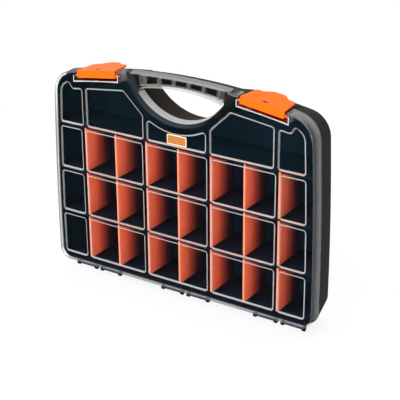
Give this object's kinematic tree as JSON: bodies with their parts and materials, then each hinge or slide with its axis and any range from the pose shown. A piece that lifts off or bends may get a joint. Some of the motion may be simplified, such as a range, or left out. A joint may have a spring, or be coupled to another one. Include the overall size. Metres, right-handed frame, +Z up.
{
  "type": "hinged-lid carry-case organizer",
  "caption": "Upright plastic carry case with a clear ridged hinged lid, flap latches, a built-in grip and rows of compartments parted by loose dividers.",
  "frame": {"origin": "on the ground, in the middle of the case's width and depth, with the case standing on its hinge side", "axes": "+X to the right seen from the lid, +Y from the lid to the back, +Z up to the handle"},
  "size_m": [0.381, 0.061, 0.293],
  "materials": {
    "tray": "satin",
    "lid": "clear",
    "latch": "satin",
    "divider": "satin"
  },
  "bodies": {
    "base": {"base_tray": "tray", "divider_1_1": "divider", "divider_1_2": "divider", "divider_1_3": "divider", "divider_1_4": "divider", "divider_1_5": "divider", "divider_1_6": "divider", "divider_1_7": "divider", "divider_2_1": "divider", "divider_2_2": "divider", "divider_2_3": "divider", "divider_2_4": "divider", "divider_2_5": "divider", "divider_2_6": "divider", "divider_2_7": "divider", "divider_3_1": "divider", "divider_3_2": "divider", "divider_3_3": "divider", "divider_3_4": "divider", "divider_3_5": "divider", "divider_3_6": "divider", "divider_3_7": "divider"},
    "lid": {"lid": "lid"},
    "latch_left": {"latch_left": "latch"},
    "latch_right": {"latch_right": "latch"}
  },
  "joints": [
    {"name": "lid_hinge", "type": "hinge", "parent": "base", "child": "lid", "pos_m": [0, -0.0135, 0.0034], "axis": [1, 0, 0], "range_deg": [0, 180]},
    {"name": "latch_left_hinge", "type": "hinge", "parent": "lid", "child": "latch_left", "pos_m": [-0.11708, -0.0271, 0.27823], "axis": [0.9903, 0, 0.1388], "range_deg": [0, 90]},
    {"name": "latch_right_hinge", "type": "hinge", "parent": "lid", "child": "latch_right", "pos_m": [0.11708, -0.0271, 0.27823], "axis": [0.9903, 0, -0.1388], "range_deg": [0, 90]}
  ]
}
